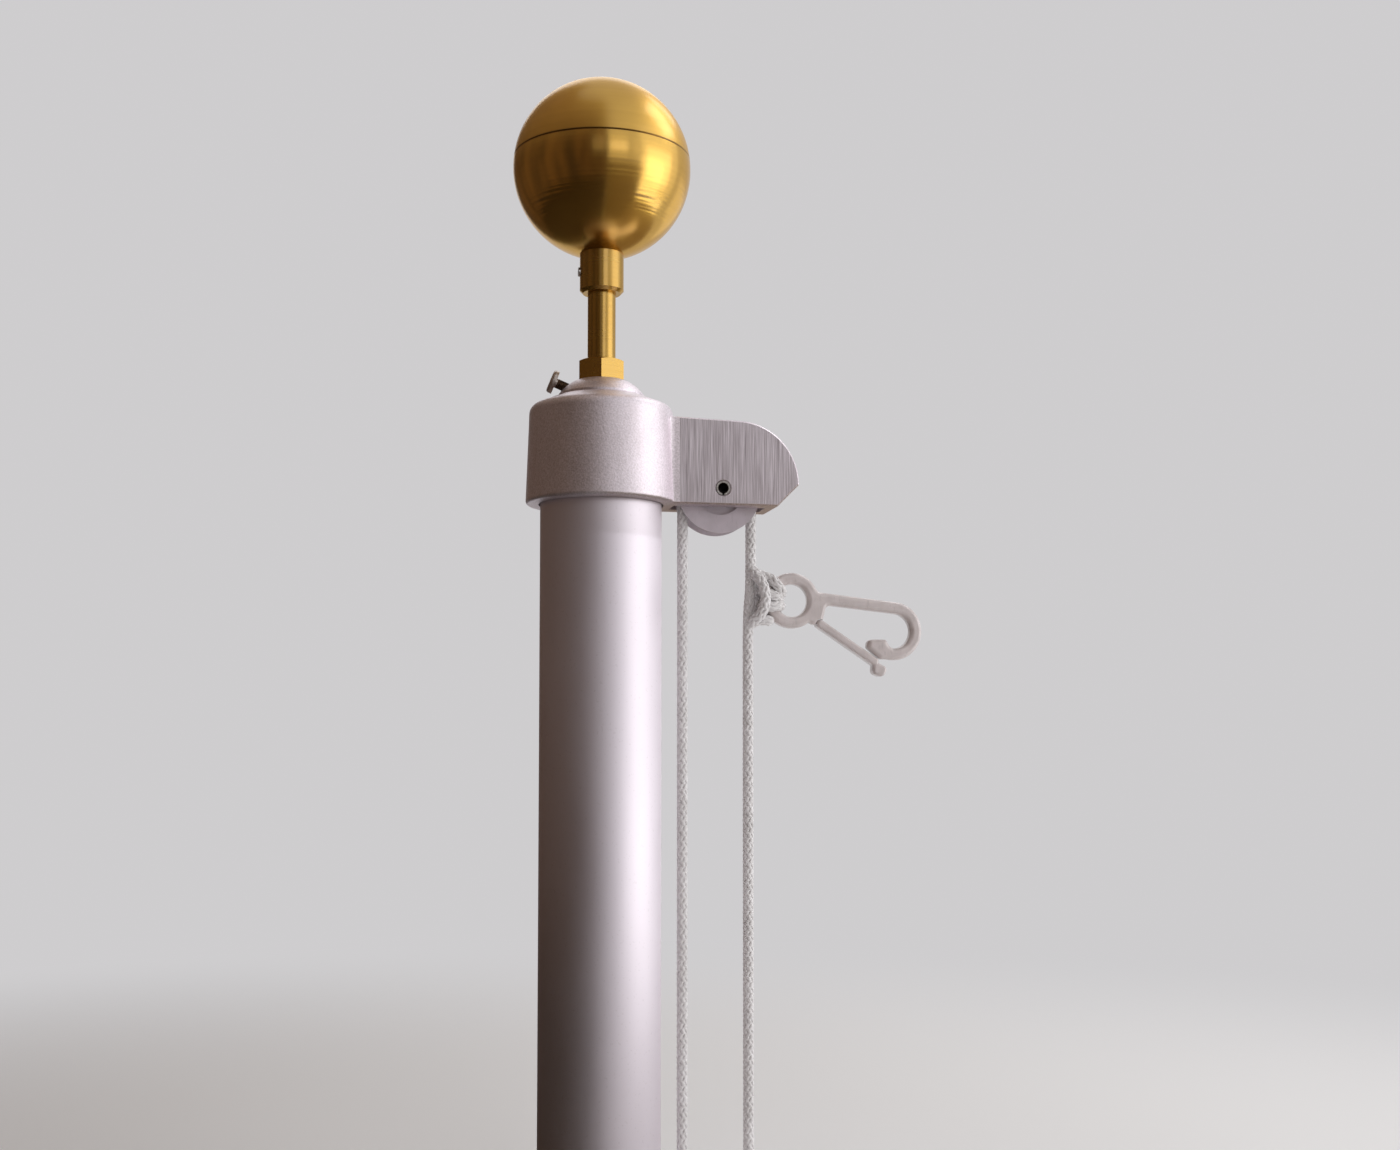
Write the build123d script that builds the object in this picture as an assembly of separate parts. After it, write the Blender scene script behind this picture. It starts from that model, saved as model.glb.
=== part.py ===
from build123d import *
import math
import os

# Head of an external halyard flagpole, in millimetres, +Z up.
# The origin is the centre of the pole's lower end, and the truck's arm points along +X.

# Pole tube
POLE_OD = 50.8
POLE_WALL = 2.4
POLE_BELOW_CAP = 300.0
POLE_IN_CAP = 34.0
TUBE_END_BREAK = 0.4

# Cap truck: skirt over the pole, shoulder and boss
SKIRT_FOOT_R = 31.5
SKIRT_TOP_R = 30.0
SKIRT_HEIGHT = 40.6
CAP_BORE_R = 26.1
SHOULDER_ROUND = 4.0
FOOT_ROUND = 1.4
BOSS_R = 18.0
BOSS_FOOT = 45.4
BOSS_STEP = 0.9
BOSS_BULGE = (14.6, 49.9)
BOSS_TOP_R = 10.4
BOSS_TOP = 52.3

# Truck arm: a hood round the sheave
ARM_HALF_WIDTH = 13.5
ARM_ROOT_X = 20.0
ARM_TOP_INNER = 36.6
ARM_END_CENTRE = (56.0, 9.3)
ARM_END_R = 26.2
ARM_BEVEL_START_X = 73.0
ARM_EDGE_BREAK = 0.6
ARM_ROOT_FILLET = 5.0
ARM_ROOT_SINK = 0.6
SLOT_HALF_WIDTH = 6.0
SLOT_CLEARANCE = 1.7

# Sheave and its roll pin
SHEAVE_X = 49.5
SHEAVE_RISE = 6.9
SHEAVE_R = 17.9
SHEAVE_HALF_WIDTH = 5.4
SHEAVE_PITCH_R = 14.8
SHEAVE_RIM_LAND = 0.9
SHEAVE_WEB_INNER_R = 6.2
SHEAVE_WEB_OUTER_R = 10.2
SHEAVE_WEB_DEPTH = 1.2
GROOVE_CLEARANCE = 0.3
PIN_R = 3.0
PIN_WALL = 0.95
PIN_SPLIT = 0.9
PIN_HOLE_CLEARANCE = 0.03
PIN_RUNNING_CLEARANCE = 0.08
PIN_HOLE_BREAK = 0.5

# Spindle, nut and ball
SPINDLE_R = 5.9
SPINDLE_FOOT = 36.0
THREAD_CLEARANCE = 0.05
NUT_ACROSS_FLATS = 18.5
NUT_HEIGHT = 8.5
NUT_CHAMFER_DEG = 30.0
NUT_TURN_DEG = 22.0
COLLAR_R = 9.25
COLLAR_FOOT = 89.7
COLLAR_CHAMFER = 1.3
COLLAR_STUB_R = 7.4
COLLAR_STUB_RISE = 3.0
BALL_R = 37.4
BALL_WALL = 1.2
BALL_CENTRE = 142.8
SEAM_RISE = 4.2
SEAM_BREAK = 0.35
LAP_HEIGHT = 3.0
LAP_WALL = 0.9

# Screws
COLLAR_SCREW_RISE = 98.6
COLLAR_SCREW_R = 1.9
COLLAR_SCREW_PROUD = 0.7
SKIRT_SCREW_RISE = 12.0
SKIRT_SCREW_R = 3.0
BOSS_SCREW_HEAD = (-20.5, 51.5)
BOSS_SCREW_TILT_DEG = 22.0
BOSS_SCREW_R = 2.0
BOSS_SCREW_HEAD_R = 4.95
BOSS_SCREW_HEAD_HEIGHT = 2.4
BOSS_SCREW_SLOT = 1.2
SCREW_CLEARANCE = 0.05

# Halyard and the knots in it
ROPE_R = 2.4
ROPE_FOOT = 19.0
END_KNOT_R = 6.2
END_KNOT_HEIGHT = 13.0
HITCH_BARREL_R = 5.2
HITCH_BARREL_HALF = 9.0
HITCH_BARREL_ROUND = 2.0
HITCH_TURN_R = 6.9
HITCH_HOLE_R = 5.5

# Snap hook, in its own plane: s runs from the eye to the bend, t runs up
HOOK_EYE = (82.0, -38.6)
HOOK_TILT_DEG = -15.4
HOOK_HALF_WIDTH = 3.0
HOOK_EDGE_ROUND = 1.9
EYE_R = 11.9
EYE_HOLE_R = 6.9
EYE_CORNERS = [((9.8, 6.7), 3.0), ((9.7, -6.8), 1.3)]
SPINE_START_S = 4.0
SPINE_RISE_DEG = 9.27
BEND_S = 46.9
BEND_R = 12.6
BEND_HOLE_R = 7.5
NOSE_FOOT_DEG = -87.5
NOSE_FOOT_ROUND = 2.0
NOSE_HEEL_DEG = -77.0
NOSE = [(44.2, -13.4), (37.3, -10.4), (36.8, -6.7), (44.6, -4.4), (46.7, -6.7)]
NOSE_ROUNDS = [2.0, 2.0, 2.0, 2.0, 1.2]
NECK = [(15.2, 2.36), (15.4, -4.6), (11.9, -7.65), (5.0, -5.1)]
NECK_ROUNDS = [2.2, 2.1, 2.1, 0.5]
GATE_PIVOT = (14.6, -6.2)
GATE_HALF_WIDTH = 1.8
GATE_SLOPE_DEG = -18.0
GATE_END = [(41.8, -16.9), (42.2, -20.4), (47.4, -21.0), (48.6, -16.2), (43.6, -15.2), (43.8, -13.8)]
GATE_END_ROUNDS = [1.0, 2.4, 2.6, 2.0, 0.3, 1.25]
GATE_EDGE_ROUND = 1.2
PIVOT_GAP = 0.3

# Values that follow from the sizes above
RIM_Z = POLE_BELOW_CAP
POLE_R = POLE_OD / 2
POLE_TOP = RIM_Z + POLE_IN_CAP
BALL_Z = RIM_Z + BALL_CENTRE
SEAM_Z = BALL_Z + SEAM_RISE
SHEAVE_Z = RIM_Z + SHEAVE_RISE
SHEAVE_AT = (SHEAVE_X, 0, SHEAVE_Z)
NUT_FOOT = RIM_Z + BOSS_TOP
COLLAR_TOP = BALL_Z - BALL_R + COLLAR_STUB_RISE
STRAND_INNER_X = SHEAVE_X - SHEAVE_PITCH_R
STRAND_OUTER_X = SHEAVE_X + SHEAVE_PITCH_R
BOSS_SCREW_TILT = math.radians(BOSS_SCREW_TILT_DEG)
BOSS_SCREW_PLANE = Plane(
    origin=(BOSS_SCREW_HEAD[0], 0, RIM_Z + BOSS_SCREW_HEAD[1]),
    x_dir=(0, 1, 0),
    z_dir=(-math.cos(BOSS_SCREW_TILT), 0, math.sin(BOSS_SCREW_TILT)),
)
BOSS_SCREW_TIP_X = SPINDLE_R + THREAD_CLEARANCE + BOSS_SCREW_R * math.sin(BOSS_SCREW_TILT)
BOSS_SCREW_REACH = (-BOSS_SCREW_HEAD[0] - BOSS_SCREW_TIP_X) / math.cos(BOSS_SCREW_TILT)
HOOK_TILT = math.radians(HOOK_TILT_DEG)
HOOK_PLANE = Plane(
    origin=(HOOK_EYE[0], 0, RIM_Z + HOOK_EYE[1]),
    x_dir=(math.cos(HOOK_TILT), 0, math.sin(HOOK_TILT)),
    z_dir=(0, -1, 0),
)


def rod(radius, length, plane):
    """A cylinder that stands on a plane and runs along its normal."""
    return plane * Cylinder(radius, length, align=(Align.CENTER, Align.CENTER, Align.MIN))


def upright(radius, low, high):
    """A cylinder round the pole's axis between two heights."""
    return rod(radius, high - low, Plane((0, 0, low)))


def crosswise(radius, half_length):
    """A cylinder along the sheave's axis, centred on the sheave."""
    return rod(radius, 2 * half_length, Plane((SHEAVE_X, half_length, SHEAVE_Z), z_dir=(0, -1, 0)))


def outline(*pieces):
    """The face inside lines and arcs that meet end to end."""
    return make_face([edge for piece in pieces for edge in piece.edges()])


def slab(plane, face, half_width):
    """A face drawn in a plane, thickened to both sides of it."""
    return extrude(plane * face, amount=half_width, both=True)


def circles_of(solid, radius):
    """The round edges of a solid that have the given radius."""
    round_edges = solid.edges().filter_by(GeomType.CIRCLE)
    return round_edges.filter_by(lambda edge: abs(edge.radius - radius) < 0.01)


def make_pole():
    tube = upright(POLE_R, 0, POLE_TOP) - upright(POLE_R - POLE_WALL, 0, POLE_TOP)
    return chamfer(circles_of(tube, POLE_R), TUBE_END_BREAK)


def make_cap():
    """Skirt with draft, rounded shoulder and stepped boss, all turned."""
    skirt = FilletPolyline(
        (0, 0),
        (SKIRT_FOOT_R, 0),
        (SKIRT_TOP_R, SKIRT_HEIGHT),
        (BOSS_R, BOSS_FOOT),
        radius=[FOOT_ROUND, SHOULDER_ROUND],
    )
    step = Line(skirt @ 1, (BOSS_R, BOSS_FOOT + BOSS_STEP))
    dome = ThreePointArc(step @ 1, BOSS_BULGE, (BOSS_TOP_R, BOSS_TOP))
    rest = Polyline(dome @ 1, (0, BOSS_TOP), (0, 0))
    return revolve(Plane.XZ * outline(skirt, step, dome, rest), Axis.Z)


def make_arm():
    """Hood with a level foot, bevelled tip, round end and sloping top."""
    centre_x, centre_z = ARM_END_CENTRE
    tip = (centre_x + ARM_END_R, centre_z)
    foot = Polyline((ARM_ROOT_X, 0), (ARM_BEVEL_START_X, 0), tip)
    end = CenterArc(ARM_END_CENTRE, ARM_END_R, 0, 90)
    rest = Polyline(end @ 1, (ARM_ROOT_X, ARM_TOP_INNER), (ARM_ROOT_X, 0))
    side = slab(Plane.XZ, outline(foot, end, rest), SKIRT_FOOT_R)
    arm = side & extrude(arm_plan(), SKIRT_HEIGHT)
    flats = arm.faces().filter_by(Axis.Y).filter_by(lambda face: abs(face.center().Y) > ARM_HALF_WIDTH - 1)
    rims = flats.edges().filter_by(lambda edge: edge.center().X > SKIRT_FOOT_R + ARM_ROOT_FILLET)
    return chamfer(rims, ARM_EDGE_BREAK)


def arm_plan():
    """The arm from above, with hollow fillets that run into the skirt."""
    root_r = SKIRT_TOP_R - ARM_ROOT_SINK
    reach = root_r + ARM_ROOT_FILLET
    centre_y = ARM_HALF_WIDTH + ARM_ROOT_FILLET
    centre_x = math.sqrt(reach**2 - centre_y**2)
    tangent_x, tangent_y = centre_x * root_r / reach, centre_y * root_r / reach
    length = ARM_END_CENTRE[0] + ARM_END_R + 1
    plan = Pos(length / 2, 0) * Rectangle(length, 2 * ARM_HALF_WIDTH)
    for side in (-1, 1):
        hollow = Pos(centre_x, side * centre_y) * Circle(ARM_ROOT_FILLET)
        corner = Polyline(
            (0, 0), (tangent_x, side * tangent_y), (centre_x, side * centre_y), (centre_x, 0), close=True
        )
        plan += outline(corner) - hollow
    return plan


def make_slot():
    """The sheave's slot, open downwards."""
    radius = SHEAVE_R + SLOT_CLEARANCE
    mouth = Pos(SHEAVE_X, 0, SHEAVE_Z - radius / 2) * Box(2 * radius, 2 * SLOT_HALF_WIDTH, radius)
    return crosswise(radius, SLOT_HALF_WIDTH) + mouth


def make_truck():
    truck = Pos(0, 0, RIM_Z) * (make_cap() + make_arm())
    truck -= upright(CAP_BORE_R, RIM_Z, POLE_TOP)
    truck -= make_slot()
    truck -= upright(SPINDLE_R + THREAD_CLEARANCE, POLE_TOP, NUT_FOOT)
    truck -= crosswise(PIN_R + PIN_HOLE_CLEARANCE, ARM_HALF_WIDTH)
    truck -= BOSS_SCREW_PLANE * boss_screw_shank(SCREW_CLEARANCE)
    truck -= skirt_screw_rod(SKIRT_SCREW_R + SCREW_CLEARANCE)
    for side in (-1, 1):
        truck -= pin_countersink(side)
    return truck


def pin_countersink(side):
    """Broken edge of the pin hole on one side of the arm."""
    hole_r = PIN_R + PIN_HOLE_CLEARANCE
    centre = (SHEAVE_X, side * (ARM_HALF_WIDTH - PIN_HOLE_BREAK / 2), SHEAVE_Z)
    return Plane(centre, z_dir=(0, side, 0)) * Cone(hole_r, hole_r + PIN_HOLE_BREAK, PIN_HOLE_BREAK)


def make_sheave():
    """Grooved wheel with a dished web, turned from half of its section."""
    half, land = SHEAVE_HALF_WIDTH, SHEAVE_HALF_WIDTH - SHEAVE_RIM_LAND
    web = half - SHEAVE_WEB_DEPTH
    bore = PIN_R + PIN_RUNNING_CLEARANCE
    groove = ROPE_R + GROOVE_CLEARANCE
    bed = ThreePointArc((SHEAVE_PITCH_R, -groove), (SHEAVE_PITCH_R - groove, 0), (SHEAVE_PITCH_R, groove))
    side = [
        (SHEAVE_R, land),
        (SHEAVE_R, half),
        (SHEAVE_WEB_OUTER_R, half),
        (SHEAVE_WEB_OUTER_R, web),
        (SHEAVE_WEB_INNER_R, web),
        (SHEAVE_WEB_INNER_R, half),
        (bore, half),
    ]
    other_side = [(radius, -across) for radius, across in reversed(side)]
    rest = Polyline(bed @ 1, *side, *other_side, bed @ 0)
    return Pos(*SHEAVE_AT) * revolve(outline(bed, rest), Axis.Y)


def make_roll_pin():
    pin = crosswise(PIN_R, ARM_HALF_WIDTH) - crosswise(PIN_R - PIN_WALL, ARM_HALF_WIDTH)
    return pin - Pos(SHEAVE_X, 0, SHEAVE_Z - PIN_R) * Box(PIN_SPLIT, 2 * ARM_HALF_WIDTH, 2 * PIN_R)


def boss_screw_shank(clearance):
    return rod(BOSS_SCREW_R + clearance, BOSS_SCREW_REACH, Plane((0, 0, -BOSS_SCREW_REACH)))


def make_boss_screw():
    """Pan head machine screw that locks the spindle in the boss."""
    half = BOSS_SCREW_HEAD_HEIGHT / 2
    head = Cylinder(BOSS_SCREW_HEAD_R, BOSS_SCREW_HEAD_HEIGHT)
    head = fillet(head.edges().filter_by(GeomType.CIRCLE).sort_by(Axis.Z)[-1:], half)
    head -= Pos(0, 0, half) * Box(BOSS_SCREW_SLOT, 2 * BOSS_SCREW_HEAD_R, BOSS_SCREW_HEAD_HEIGHT / 2)
    return BOSS_SCREW_PLANE * (head + boss_screw_shank(0))


def skirt_screw_rod(radius):
    """Along +Y, from the pole's wall out to the back of the skirt."""
    start = POLE_R + THREAD_CLEARANCE
    plane = Plane((0, start, RIM_Z + SKIRT_SCREW_RISE), z_dir=(0, 1, 0))
    return rod(radius, SKIRT_TOP_R - start, plane)


def make_skirt_screw():
    end = Plane((0, SKIRT_TOP_R, RIM_Z + SKIRT_SCREW_RISE), z_dir=(0, 1, 0))
    socket = slab(end, RegularPolygon(SKIRT_SCREW_R / 2, 6), SKIRT_SCREW_R)
    return skirt_screw_rod(SKIRT_SCREW_R) - socket


def collar_screw_rod(radius):
    """Along -X, from the spindle out through the collar's wall."""
    start = SPINDLE_R + THREAD_CLEARANCE
    plane = Plane((-start, 0, RIM_Z + COLLAR_SCREW_RISE), z_dir=(-1, 0, 0))
    return rod(radius, COLLAR_R + COLLAR_SCREW_PROUD - start, plane)


def make_collar_screw():
    end_x = -COLLAR_R - COLLAR_SCREW_PROUD
    end = Plane((end_x, 0, RIM_Z + COLLAR_SCREW_RISE), z_dir=(-1, 0, 0))
    socket = slab(end, RegularPolygon(COLLAR_SCREW_R / 2, 6), COLLAR_SCREW_R)
    return collar_screw_rod(COLLAR_SCREW_R) - socket


def make_spindle():
    return upright(SPINDLE_R, RIM_Z + SPINDLE_FOOT, COLLAR_TOP)


def make_nut():
    """Hexagon with a corner to the front and its top corners turned off."""
    flat = NUT_ACROSS_FLATS / 2
    corner = flat / math.cos(math.pi / 6)
    top = NUT_FOOT + NUT_HEIGHT
    drop = (corner - flat) * math.tan(math.radians(NUT_CHAMFER_DEG))
    hexagon = RegularPolygon(corner, 6, rotation=NUT_TURN_DEG)
    blank = slab(Plane((0, 0, NUT_FOOT + NUT_HEIGHT / 2)), hexagon, NUT_HEIGHT / 2)
    cone = Pos(0, 0, top - drop / 2) * Cone(corner, flat, drop)
    blank &= cone + upright(corner, NUT_FOOT, top - drop)
    return blank - upright(SPINDLE_R + THREAD_CLEARANCE, NUT_FOOT, top)


def make_collar():
    """Neck of the ball: a sleeve cupped to fit under it, with a stub that enters it."""
    foot = RIM_Z + COLLAR_FOOT
    sleeve = upright(COLLAR_R, foot, COLLAR_TOP)
    sleeve = chamfer(circles_of(sleeve, COLLAR_R).sort_by(Axis.Z)[:1], COLLAR_CHAMFER)
    sleeve -= Pos(0, 0, BALL_Z) * Sphere(BALL_R + THREAD_CLEARANCE)
    sleeve += upright(COLLAR_STUB_R, foot + COLLAR_CHAMFER, COLLAR_TOP)
    sleeve -= upright(SPINDLE_R + THREAD_CLEARANCE, foot, COLLAR_TOP)
    return sleeve - collar_screw_rod(COLLAR_SCREW_R + SCREW_CLEARANCE)


def make_ball_half(low, high):
    """The part of the spun ball between two heights, with its seam edge broken."""
    shell = Pos(0, 0, BALL_Z) * (Sphere(BALL_R) - Sphere(BALL_R - BALL_WALL))
    half = shell & upright(BALL_R + 1, low, high)
    seam_r = math.sqrt(BALL_R**2 - SEAM_RISE**2)
    return chamfer(circles_of(half, seam_r), SEAM_BREAK)


def make_ball_upper():
    return make_ball_half(SEAM_Z, BALL_Z + BALL_R)


def make_ball_lower():
    """Lower half, with the neck's hole and an inner lap that centres the upper half."""
    half = make_ball_half(BALL_Z - BALL_R, SEAM_Z)
    half -= upright(COLLAR_STUB_R + THREAD_CLEARANCE, BALL_Z - BALL_R, BALL_Z)
    lap_r = math.sqrt((BALL_R - BALL_WALL) ** 2 - (SEAM_RISE + LAP_HEIGHT) ** 2) - THREAD_CLEARANCE
    low, high = SEAM_Z - LAP_HEIGHT, SEAM_Z + LAP_HEIGHT
    lap = upright(lap_r, low, high) + upright(BALL_R - BALL_WALL / 2, low, SEAM_Z)
    return half + (lap - upright(lap_r - LAP_WALL, low, high))


def make_halyard():
    """One rope: up the inner strand, round the sheave and down the outer strand."""
    up = Line((STRAND_INNER_X, 0, ROPE_FOOT), (STRAND_INNER_X, 0, SHEAVE_Z))
    over = ThreePointArc(
        up @ 1, (SHEAVE_X, 0, SHEAVE_Z + SHEAVE_PITCH_R), (STRAND_OUTER_X, 0, SHEAVE_Z)
    )
    down = Line(over @ 1, (STRAND_OUTER_X, 0, ROPE_FOOT))
    return sweep(Plane(up @ 0) * Circle(ROPE_R), path=Wire(up.edges() + over.edges() + down.edges()))


def make_end_knot(x):
    """Stopper knot at a strand's end, a plain barrel with a flat top."""
    barrel = Pos(x, 0, 0) * upright(END_KNOT_R, ROPE_FOOT - END_KNOT_HEIGHT, ROPE_FOOT)
    return fillet(circles_of(barrel, END_KNOT_R), END_KNOT_R / 2)


def make_hitch_knot():
    """Two turns round the hook's eye, on a barrel that grips the outer strand."""
    eye_z = RIM_Z + HOOK_EYE[1]
    knot = Pos(STRAND_OUTER_X, 0, 0) * upright(
        HITCH_BARREL_R, eye_z - HITCH_BARREL_HALF, eye_z + HITCH_BARREL_HALF
    )
    knot = fillet(circles_of(knot, HITCH_BARREL_R), HITCH_BARREL_ROUND)
    limb_s = -(EYE_R + EYE_HOLE_R) / 2
    root, crest = HITCH_TURN_R, HITCH_TURN_R + ROPE_R
    lower = ThreePointArc((root, -2 * ROPE_R), (crest, -ROPE_R), (root, 0))
    upper = ThreePointArc((root, 0), (crest, ROPE_R), (root, 2 * ROPE_R))
    inside = Polyline(upper @ 1, (HITCH_HOLE_R, 2 * ROPE_R), (HITCH_HOLE_R, -2 * ROPE_R), lower @ 0)
    turns = Pos(limb_s, 0, 0) * revolve(outline(lower, upper, inside), Axis.Y)
    knot += HOOK_PLANE.location * turns
    strand = Pos(STRAND_OUTER_X, 0, 0) * upright(ROPE_R + SCREW_CLEARANCE, 0, RIM_Z)
    return knot - strand


def round_corner(face, place, radius):
    """Rounds the corner of a face that lies nearest to a place."""
    return fillet(face.vertices().sort_by_distance(Vector(*place))[0], radius)


def round_rims(solid, half_width, radius):
    """Rounds the edges of a slab round both of its flat sides."""
    sides = solid.faces().filter_by(Axis.Y).filter_by(lambda face: abs(face.center().Y) > half_width / 2)
    return fillet(sides.edges(), radius)


def hook_outline():
    """Eye, neck, sloping spine, round bend and barbed nose."""
    bend_start_deg = 90 + SPINE_RISE_DEG
    outer = CenterArc((BEND_S, 0), BEND_R, bend_start_deg, NOSE_FOOT_DEG - bend_start_deg)
    inner = CenterArc((BEND_S, 0), BEND_HOLE_R, NOSE_HEEL_DEG, bend_start_deg - NOSE_HEEL_DEG)
    top = outer @ 0
    drop = (top.X - SPINE_START_S) * math.tan(math.radians(SPINE_RISE_DEG))
    spine = Line((SPINE_START_S, top.Y - drop), top)
    nose = FilletPolyline(outer @ 1, *NOSE, inner @ 0, radius=NOSE_ROUNDS)
    neck = FilletPolyline(inner @ 1, *NECK, spine @ 0, radius=NECK_ROUNDS)
    face = outline(spine, outer, nose, inner, neck) + Circle(EYE_R) - Circle(EYE_HOLE_R)
    for place, radius in EYE_CORNERS:
        face = round_corner(face, place, radius)
    return round_corner(face, outer @ 1, NOSE_FOOT_ROUND)


def make_hook():
    """One moulding, with a socket for the tongue's root."""
    hook = round_rims(slab(HOOK_PLANE, hook_outline(), HOOK_HALF_WIDTH), HOOK_HALF_WIDTH, HOOK_EDGE_ROUND)
    socket = Pos(*GATE_PIVOT) * Circle(GATE_HALF_WIDTH + PIVOT_GAP)
    return hook - slab(HOOK_PLANE, socket, HOOK_HALF_WIDTH)


def make_gate():
    """Springy tongue with a round root and a thumb knob at its end."""
    root = CenterArc(GATE_PIVOT, GATE_HALF_WIDTH, 90 + GATE_SLOPE_DEG, 180)
    tongue = FilletPolyline(root @ 1, *GATE_END, root @ 0, radius=GATE_END_ROUNDS)
    gate = slab(HOOK_PLANE, outline(root, tongue), HOOK_HALF_WIDTH)
    return round_rims(gate, HOOK_HALF_WIDTH, GATE_EDGE_ROUND)


NODES = {
    "pole_tube": make_pole,
    "truck_casting": make_truck,
    "sheave": make_sheave,
    "sheave_roll_pin": make_roll_pin,
    "boss_clamp_screw": make_boss_screw,
    "skirt_set_screw": make_skirt_screw,
    "spindle": make_spindle,
    "spindle_nut": make_nut,
    "ball_collar": make_collar,
    "collar_set_screw": make_collar_screw,
    "ball_lower_half": make_ball_lower,
    "ball_upper_half": make_ball_upper,
    "halyard": make_halyard,
    "halyard_end_knot_inner": lambda: make_end_knot(STRAND_INNER_X),
    "halyard_end_knot_outer": lambda: make_end_knot(STRAND_OUTER_X),
    "hitch_knot": make_hitch_knot,
    "snap_hook": make_hook,
    "snap_hook_gate": make_gate,
}

os.makedirs("parts", exist_ok=True)
for name, make in NODES.items():
    export_step(make(), f"parts/{name}.step")
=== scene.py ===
import math

import bpy
import numpy as np
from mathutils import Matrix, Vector


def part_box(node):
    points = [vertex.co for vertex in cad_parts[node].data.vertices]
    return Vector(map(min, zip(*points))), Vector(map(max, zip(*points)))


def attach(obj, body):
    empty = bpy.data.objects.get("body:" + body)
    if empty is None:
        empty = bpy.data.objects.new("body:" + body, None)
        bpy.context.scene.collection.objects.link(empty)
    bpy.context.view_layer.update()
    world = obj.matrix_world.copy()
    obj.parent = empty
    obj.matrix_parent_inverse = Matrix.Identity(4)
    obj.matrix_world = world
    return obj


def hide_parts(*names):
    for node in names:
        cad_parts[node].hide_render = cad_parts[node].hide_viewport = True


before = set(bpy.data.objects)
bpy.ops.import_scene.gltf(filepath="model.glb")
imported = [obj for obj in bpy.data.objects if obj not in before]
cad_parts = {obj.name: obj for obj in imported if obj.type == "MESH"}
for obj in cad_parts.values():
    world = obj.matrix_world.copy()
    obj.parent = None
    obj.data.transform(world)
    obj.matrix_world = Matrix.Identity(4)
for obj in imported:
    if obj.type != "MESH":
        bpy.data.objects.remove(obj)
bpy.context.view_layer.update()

# Sizes are in metres, in the part's own frame: +Z up along the pole, +X along the truck's arm.

# Camera, for an image of 1400 x 1150
CAMERA_AT = (-0.0930, -0.6655, 0.2030)
CAMERA_YAW_DEG = 11.49
CAMERA_PITCH_DEG = 3.04
CAMERA_LENS_MM = 41.45
CAMERA_SHIFT_UP = 0.055
CAMERA_NEAR = 0.01

# Rope: a braid of equal numbers of strands wound each way
ROPE_R = 0.0024
STRANDS_EACH_WAY = 6
BRAID_PITCH = 0.0258
STRAND_HALF_WIDTH = 0.00088
STRAND_HALF_THICKNESS = 0.00052
STRAND_WEAVE = 0.00026
STRAND_SIDES = 6
STEPS_A_PITCH = 42
CORE_R = 0.0014
CORE_SIDES = 8
SPLINE_ORDER = 3
SPLINE_RESOLUTION = 48
NEARLY_PARALLEL = 0.1

# Route of the halyard: up the inner strand, round the sheave, down the outer strand
HALYARD_ROUTE = [
    (0.0347, 0, 0.0190),
    (0.0347, 0, 0.2780),
    (0.0347, 0, 0.3008),
    (0.0347, 0, 0.3130),
    (0.0434, 0, 0.3217),
    (0.0556, 0, 0.3217),
    (0.0643, 0, 0.3130),
    (0.0643, 0, 0.3008),
    (0.0643, 0, 0.2780),
    (0.0642, 0, 0.2660),
    (0.0632, 0, 0.2560),
    (0.0630, 0, 0.2400),
    (0.0630, 0, 0.0190),
]

# Hitch through the hook's eye: turns round the eye's limb, and bights across their front and back
EYE_CENTRE = (0.0820, 0.2614)
EYE_MIDDLE_R = 0.0094
HITCH_TURN_OUT = 0.0041
HITCH_TURN_HALF_Y = 0.0054
HITCH_FROM_DEG = 136.0
HITCH_TO_DEG = 222.0
HITCH_TURNS = 3
HITCH_START_DEG = 30.0
HITCH_POINTS_A_TURN = 12
HITCH_LEAD_IN = [(0.0640, 0.0000, 0.2756), (0.0654, -0.0012, 0.2728)]
HITCH_LEAD_OUT = [(0.0658, -0.0014, 0.2530), (0.0634, 0.0000, 0.2502)]
HITCH_BIGHT = [
    (0.0641, 0.0000, 0.2742),
    (0.0654, -0.0032, 0.2718),
    (0.0678, -0.0064, 0.2688),
    (0.0690, -0.0074, 0.2640),
    (0.0690, -0.0074, 0.2592),
    (0.0674, -0.0064, 0.2550),
    (0.0650, -0.0032, 0.2526),
    (0.0634, 0.0000, 0.2506),
]
HITCH_BACK_BIGHT = [(x, -y, z) for x, y, z in HITCH_BIGHT]

# Stopper knot: a wrapped barrel on the strand's end, with a short tail that leans a little.
# The tuck is how far out the ends of the wraps lie, as a share of their radius.
KNOT_TOP = 0.0185
KNOT_FOOT = 0.0065
KNOT_TURN_R = 0.0042
KNOT_TURNS = 2.5
KNOT_POINTS_A_TURN = 12
KNOT_TUCK = 0.35
TAIL_FOOT = 0.0028
TAIL_LEAN = (0.0006, 0.0004)

# Roll pin: its axis, the directions across it, and the radii between which the painted shade in its bore
# ends
PIN_AXIS = (0.0495, 0.0, 0.3069)
PIN_ACROSS = (1, 0, 1)
PIN_BORE = (0.00215, 0.0024)

# Boss screw: middle of its head, direction out of the boss, where the dirty thread starts, its pitch
SCREW_HEAD = (-0.0205, 0.0, 0.3515)
SCREW_OUT = (-0.9272, 0.0, 0.3746)
SCREW_THREAD_FROM = (-0.0014, -0.0020)
SCREW_PITCH = 0.0008

# Set screw in the back of the skirt: its outer face, the break of its edge, and its hexagon socket
SKIRT_SCREW_FACE_Y = 0.0323
SKIRT_SCREW_BREAK = 0.0004
SKIRT_SCREW_SOCKET_R = 0.0016
SKIRT_SCREW_SOCKET_DEPTH = 0.0010
SKIRT_SCREW_SIDES = 48

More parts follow.
